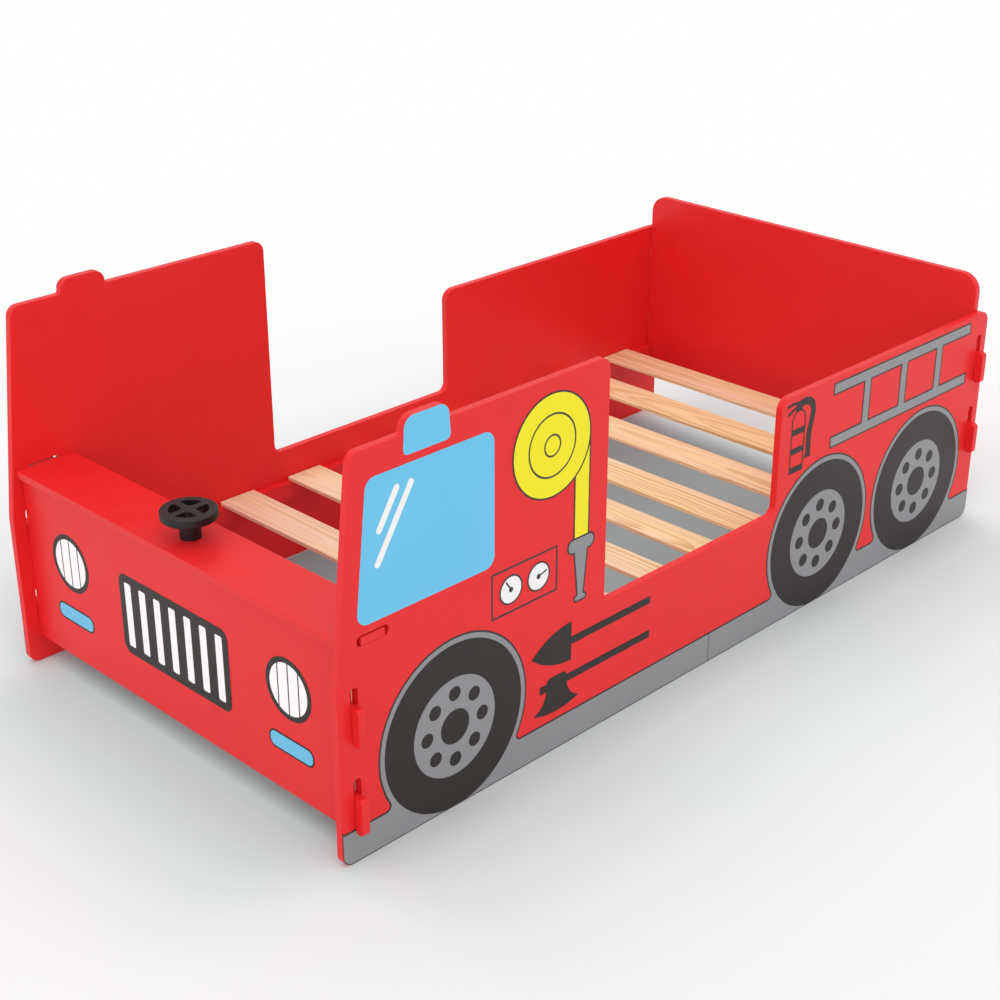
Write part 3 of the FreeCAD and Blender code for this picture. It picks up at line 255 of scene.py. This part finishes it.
def knots(tree, shift):
    """Shares for the grain that swerves round the knots and for their dark hearts."""
    cells = {"Vector": places(tree, (13, 2.6, 0), shift), "Scale": 1.0}
    spots = add(tree, "ShaderNodeTexVoronoi", cells).outputs
    chosen = add(tree, "ShaderNodeSeparateColor", {"Color": spots["Color"]}).outputs["Red"]
    rare = spread(tree, chosen, (0.62, 0.64), RISING)
    around = product(tree, spread(tree, spots["Distance"], (0.0, 0.16), FALLING), rare)
    heart = product(tree, spread(tree, spots["Distance"], (0.02, 0.05), FALLING), rare)
    return around, heart


def pine(name):
    material, tree, shader = new_material(name)
    first, second, third, shift = slat_chances(tree)
    around, heart = knots(tree, shift)
    reach = total(tree, pith_distance(tree, first, second, third, shift), product(tree, around, 0.006))
    ring = math_node(tree, "FRACT", product(tree, reach, RINGS_PER_METRE))
    late = product(tree, spread(tree, ring, (0.35, 0.85), RISING), spread(tree, ring, (0.85, 0.98), FALLING))
    streaks = noise(tree, places(tree, (30, 1.7, 30), shift), detail=2.0)
    bold = spread(tree, streaks, (0.35, 0.62), (0.12, 1.0))
    along_bed = split(tree, places(tree))["X"]
    blush = total(tree, spread(tree, along_bed, (-0.45, 0.1), (0.13, -0.07)),
                  spread(tree, second, RISING, (-0.06, 0.06)))
    bands = total(tree, noise(tree, places(tree, (52, 1.8, 52), shift)), blush)
    gleam = noise(tree, places(tree, (95, 3.4, 95), shift), detail=2.0)
    fibres = noise(tree, places(tree, (330, 7, 330), shift))
    colour = mix_colour(tree, spread(tree, bands, (0.38, 0.62), RISING), PINE_COLOURS["yellow"],
                        PINE_COLOURS["pink"])
    layers = [("gleam", spread(tree, gleam, (0.5, 0.72), (0.0, 0.7))),
              ("fibre", spread(tree, fibres, (0.48, 0.76), (0.0, 0.5))),
              ("late_wood", product(tree, late, bold)),
              ("knot", product(tree, heart, 0.75)),
              # The edge layer is a painted highlight
              ("edge_highlight_colour", product(tree, edge_mask(tree, radius=0.0012), 0.3))]
    for layer, share in layers:
        colour = mix_colour(tree, share, colour, PINE_COLOURS[layer])
    grown = bump(tree, ring, strength=0.12, distance=0.0004)
    normal = bump(tree, fibres, strength=0.22, distance=0.0003, under=grown)
    rough = spread(tree, ring, RISING, (0.58, 0.47))
    set_inputs(tree, shader, Base_Color=colour, Roughness=rough, Normal=normal, Specular_IOR_Level=0.35)
    return material


# Beech: short turned dowels, pale wood with dark flecks along the pin
def beech(name, deep, bright, fleck):
    material, tree, shader = new_material(name)
    flecks = noise(tree, places(tree, (900, 900, 90)), detail=2.0)
    cast = noise(tree, places(tree, (40, 40, 8)))
    colour = mix_colour(tree, spread(tree, cast, MIDDLE, RISING), deep, bright)
    colour = mix_colour(tree, spread(tree, flecks, (0.6, 0.72), (0.0, 0.6)), colour, fleck)
    rough = spread(tree, flecks, MIDDLE, (0.5, 0.65))
    normal = bump(tree, flecks, strength=0.2, distance=0.0003)
    set_inputs(tree, shader, Base_Color=colour, Roughness=rough, Normal=normal)
    return material


# Moulded plastic: spark-eroded grain, with a painted highlight in patches along the edges
def moulded(name, deep, bright, rough, grain_scale, strength):
    material, tree, shader = new_material(name)
    edge_highlight_gain = 1.8
    broad = noise(tree, places(tree), scale=70.0, detail=4.0)
    grain = noise(tree, places(tree), scale=grain_scale, roughness=0.6)
    colour = mix_colour(tree, spread(tree, broad, MIDDLE, (0.0, 0.8)), deep, bright)
    # Painted highlight: a paler tone in patches along the edges
    edge_highlight_share = product(tree, edge_mask(tree, radius=0.0008), spread(tree, broad, (0.35, 0.6), (0.15, 0.6)))
    edge_highlight_tint = tuple(min(1.0, channel * edge_highlight_gain) for channel in bright[:3]) + (1,)
    colour = mix_colour(tree, edge_highlight_share, colour, edge_highlight_tint)
    gloss = spread(tree, grain, MIDDLE, (rough - 0.07, rough + 0.07))
    normal = bump(tree, grain, strength, distance=0.0003)
    set_inputs(tree, shader, Base_Color=colour, Roughness=gloss, Normal=normal, Specular_IOR_Level=0.4)
    return material


# Metals: turned brass and zinc-plated steel
def turned_metal(name, deep, bright, rough):
    material, tree, shader = new_material(name)
    lines = noise(tree, places(tree, (180, 180, 5200)), detail=2.0)
    spangle = noise(tree, places(tree), scale=260.0, detail=4.0)
    colour = mix_colour(tree, spread(tree, spangle, MIDDLE, RISING), deep, bright)
    gloss = spread(tree, lines, MIDDLE, (rough - 0.06, rough + 0.1))
    normal = bump(tree, lines, strength=0.12, distance=0.0002)
    set_inputs(tree, shader, Base_Color=colour, Roughness=gloss, Normal=normal, Metallic=1.0)
    return material


finishes = {
    # The boards' paler edge colour is a painted highlight
    "red_board": painted_board("red_lacquer", deep=(0.745, 0.0155, 0.0175, 1),
                               bright=(0.795, 0.019, 0.0215, 1), edge_highlight_colour=(0.83, 0.045, 0.05, 1)),
    "pine": pine("pine"),
    "beech": beech("beech", deep=(0.62, 0.38, 0.22, 1), bright=(0.70, 0.46, 0.28, 1),
                   fleck=(0.38, 0.20, 0.10, 1)),
    "wheel_plastic": moulded("charcoal_plastic", deep=(0.006, 0.0055, 0.0055, 1),
                             bright=(0.01, 0.009, 0.009, 1), rough=0.5, grain_scale=1900.0, strength=0.16),
    "bush_plastic": moulded("nylon", deep=(0.78, 0.77, 0.72, 1), bright=(0.84, 0.83, 0.79, 1),
                            rough=0.42, grain_scale=1400.0, strength=0.08),
    "brass": turned_metal("brass", deep=(0.66, 0.44, 0.14, 1), bright=(0.78, 0.56, 0.22, 1), rough=0.3),
    "steel": turned_metal("zinc_steel", deep=(0.52, 0.53, 0.55, 1), bright=(0.66, 0.67, 0.69, 1),
                          rough=0.34),
    "print_charcoal": printed_film("ink_charcoal", deep=(0.0165, 0.0118, 0.0098, 1),
                                   bright=(0.0202, 0.0148, 0.0125, 1), level=0.33),
    "print_line": printed_film("ink_line", deep=(0.025, 0.02, 0.018, 1), bright=(0.032, 0.026, 0.024, 1)),
    "print_grey": printed_film("ink_grey", deep=(0.241, 0.245, 0.257, 1), bright=(0.261, 0.265, 0.2775, 1)),
    "print_blue": printed_film("ink_blue", deep=(0.125, 0.514, 0.778, 1), bright=(0.143, 0.532, 0.80, 1)),
    "print_yellow": printed_film("ink_yellow", deep=(0.845, 0.746, 0.001, 1),
                                 bright=(0.877, 0.779, 0.003, 1), level=0.34),
    "print_white": printed_film("ink_white", deep=(0.965, 0.955, 0.95, 1), bright=(0.985, 0.975, 0.97, 1)),
    # A darker copy of the white ink for the sides: painted shade
    "shaded_side_white": printed_film("ink_white_shaded_sides", deep=(0.86, 0.852, 0.844, 1),
                               bright=(0.878, 0.87, 0.862, 1)),
}


def dress(node, finish):
    """A finish on every slot of a node."""
    for holder in frame["nodes"][node].material_slots:
        holder.material = finishes[finish]


for subpart in frame["record"]["subparts"]:
    dress(subpart["node"], subpart["material_slot"])

# The rail screws are lacquered over with the boards, and the white on the sides is a darker copy of the
# white ink, painted shade
dress("rail_screws", "red_board")
for hand in ("left", "right"):
    dress(f"{hand}_window_glints", "shaded_side_white")
    dress(f"{hand}_gauge_dials", "shaded_side_white")


# Floor: pale and matt, with painted shade and light near the bed, painted shadow under it, the boards' red
# bounce light painted out of it, and white to the camera far away
FLOOR_COLOURS = {
    "deep": (0.805, 0.807, 0.81, 1),
    "bright": (0.815, 0.817, 0.82, 1),
    # Painted light on the floor behind the bed
    "painted_light_behind": (0.85, 0.852, 0.855, 1),
    # Painted shade by the front, painted light by the headboard and a plain tint by the sides, each with the
    # boards' red bounce light painted out
    "shade_by_front": (0.49, 0.715, 0.72, 1),
    "light_by_head": (0.68, 0.85, 0.86, 1),
    "red_bounce_out_by_side": (0.41, 0.80, 0.80, 1),
    # Painted shadow under the bed, with the red bounce light painted out
    "under": (0.445, 0.65, 0.705, 1),
}
# How far the end faces and the side faces that the floor is measured from lie inside the bed's box
END_INSET = 0.002
HOOK_REACH = 0.016


# Each painted shade or tint comes and goes between two distances past an end or a side face, negative under
# the bed
def past_ends(tree, colour, spot, past_end, past_side):
    """Painted shade by the front and painted light by the headboard, both with the boards' red bounce light
    painted out, on the floor beyond them but not beside the side panels.
    """
    across = total(tree, product(tree, fading(tree, past_side, -0.12, 0.1), 0.85),
                   product(tree, fading(tree, past_side, -0.05, 0.4), 0.15))
    beside = product(tree, spread(tree, past_end, (-0.02, 0.0), FALLING),
                     spread(tree, past_side, (-0.012, 0.0), RISING))
    share = product(tree, fading(tree, past_end, 0.0, 0.37), spread(tree, past_end, (-0.13, -0.11), RISING),
                    across, spread(tree, past_end, (-0.05, -0.02), (1.0, 0.7)), less(tree, 1.0, beside))
    at_head = spread(tree, spot["X"], (-0.1, 0.1), RISING)
    end_light_and_shade = mix_colour(tree, at_head, FLOOR_COLOURS["shade_by_front"], FLOOR_COLOURS["light_by_head"])
    return mix_colour(tree, share, colour, end_light_and_shade)


def past_sides(tree, colour, spot, past_end, past_side):
    """Painted shade on the floor along the side panels, a broad one and a close one, over a tint that paints
    out the boards' red bounce light.
    """
    along = product(tree, fading(tree, past_end, -0.06, 0.05),
                    spread(tree, past_side, (-0.02, 0.0), RISING))
    off_middle = math_node(tree, "ABSOLUTE", total(tree, spot["X"], 0.08))
    share = product(tree, spread(tree, past_side, (0.0, 0.06), (0.35, 1.0)),
                    fading(tree, past_side, 0.05, 0.55), along,
                    spread(tree, off_middle, (0.2, 0.42), (0.3, 0.09)))
    colour = mix_colour(tree, share, colour, FLOOR_COLOURS["red_bounce_out_by_side"])
    broad_shade = product(tree, fading(tree, past_side, 0.0, 0.4), along, 0.09)
    close_shade = product(tree, fading(tree, past_side, 0.0, 0.08), along, 0.12)
    return mix_colour(tree, total(tree, broad_shade, close_shade), colour, BLACK)


def shadow_under_bed(tree, colour, spot, past_end, past_side):
    """Painted shadow on the floor between the panels, a little deeper towards the front and the far side."""
    share = product(tree, fading(tree, past_end, -0.1, -0.025),
                    spread(tree, past_side, (-0.016, -0.01), FALLING))
    dim = total(tree, spread(tree, spot["Y"], (0.0, 0.3), (0.0, 0.11)),
                spread(tree, spot["X"], (-0.2, 0.15), (0.1, 0.0)))
    return mix_colour(tree, share, colour, mix_colour(tree, dim, FLOOR_COLOURS["under"], BLACK))


def floor_material():
    material = bpy.data.materials.new("studio_floor")
    tree = empty_tree(material)
    corner = cad_box[1]
    spot = split(tree, places(tree))
    past_end = less(tree, math_node(tree, "ABSOLUTE", spot["X"]), corner.x - END_INSET)
    past_side = less(tree, math_node(tree, "ABSOLUTE", spot["Y"]), corner.y - HOOK_REACH)
    mottle = noise(tree, places(tree), scale=3.0, detail=4.0)
    plain = mix_colour(tree, mottle, FLOOR_COLOURS["deep"], FLOOR_COLOURS["bright"])
    # Painted light on the floor behind the bed
    painted_light_behind = spread(tree, total(tree, spot["X"], spot["Y"]), (0.2, 1.2), RISING)
    colour = mix_colour(tree, painted_light_behind, plain, FLOOR_COLOURS["painted_light_behind"])
    for region in (past_ends, past_sides, shadow_under_bed):
        colour = region(tree, colour, spot, past_end, past_side)
    seen = add(tree, "ShaderNodeLightPath").outputs
    rays = math_node(tree, "MAXIMUM", seen["Is Camera Ray"], seen["Is Glossy Ray"])
    rays = math_node(tree, "MAXIMUM", rays, seen["Is Transmission Ray"])
    shown = mix_colour(tree, rays, plain, colour)
    matt = add(tree, "ShaderNodeBsdfDiffuse", {"Color": shown}).outputs["BSDF"]
    white = add(tree, "ShaderNodeEmission", {"Color": WHITE, "Strength": 1.0}).outputs["Emission"]
    reach = add(tree, "ShaderNodeVectorMath", {0: places(tree)}, operation="LENGTH").outputs["Value"]
    far = product(tree, spread(tree, reach, (1.0, 3.6), RISING), rays)
    surface = add(tree, "ShaderNodeMixShader", {0: far, 1: matt, 2: white}).outputs["Shader"]
    add(tree, "ShaderNodeOutputMaterial", {"Surface": surface})
    return material


half_floor = 30.0
floor_level = -0.0004
corners = [(-half_floor, -half_floor), (half_floor, -half_floor),
           (half_floor, half_floor), (-half_floor, half_floor)]
floor_mesh = bpy.data.meshes.new("floor")
floor_mesh.from_pydata([(x, y, floor_level) for x, y in corners], [], [(0, 1, 2, 3)])
floor_mesh.materials.append(floor_material())
floor = bpy.data.objects.new("floor", floor_mesh)
bpy.context.scene.collection.objects.link(floor)


# Light: a white dome, stronger overhead and towards the front left, where a broad soft box would stand
def dome():
    world = bpy.data.worlds.new("studio")
    tree = empty_tree(world)
    horizon_to_top = (0.58, 1.235)
    towards_box = (-0.6, -0.6, 0.53)
    box_strength = 0.81
    ray = add(tree, "ShaderNodeTexCoord").outputs["Generated"]
    overhead = spread(tree, split(tree, ray)["Z"], RISING, horizon_to_top)
    soft_box = spread(tree, dot(tree, ray, towards_box), (0.35, 1.0), RISING)
    level = total(tree, overhead, product(tree, soft_box, soft_box, box_strength))
    seen = add(tree, "ShaderNodeLightPath").outputs["Is Camera Ray"]
    light = add(tree, "ShaderNodeBackground", {"Color": WHITE, "Strength": level}).outputs["Background"]
    white = add(tree, "ShaderNodeBackground", {"Color": WHITE, "Strength": 1.0}).outputs["Background"]
    surface = add(tree, "ShaderNodeMixShader", {0: seen, 1: light, 2: white}).outputs["Shader"]
    add(tree, "ShaderNodeOutputWorld", {"Surface": surface})
    bpy.context.scene.world = world


dome()
bpy.context.scene.view_settings.view_transform = "Standard"

# Camera at the photograph's viewing angle
yaw = math.radians(44.722)
pitch = math.radians(25.215)
looking = Vector((math.cos(yaw) * math.cos(pitch), math.sin(yaw) * math.cos(pitch), -math.sin(pitch)))
lens = bpy.data.cameras.new("camera")
lens.sensor_width = 36.0
lens.lens = 64.476
lens.clip_end = 100.0
camera = bpy.data.objects.new("camera", lens)
camera.location = (-1.9276, -1.8318, 1.4034)
camera.rotation_euler = looking.to_track_quat("-Z", "Y").to_euler()
bpy.context.scene.collection.objects.link(camera)
bpy.context.scene.camera = camera
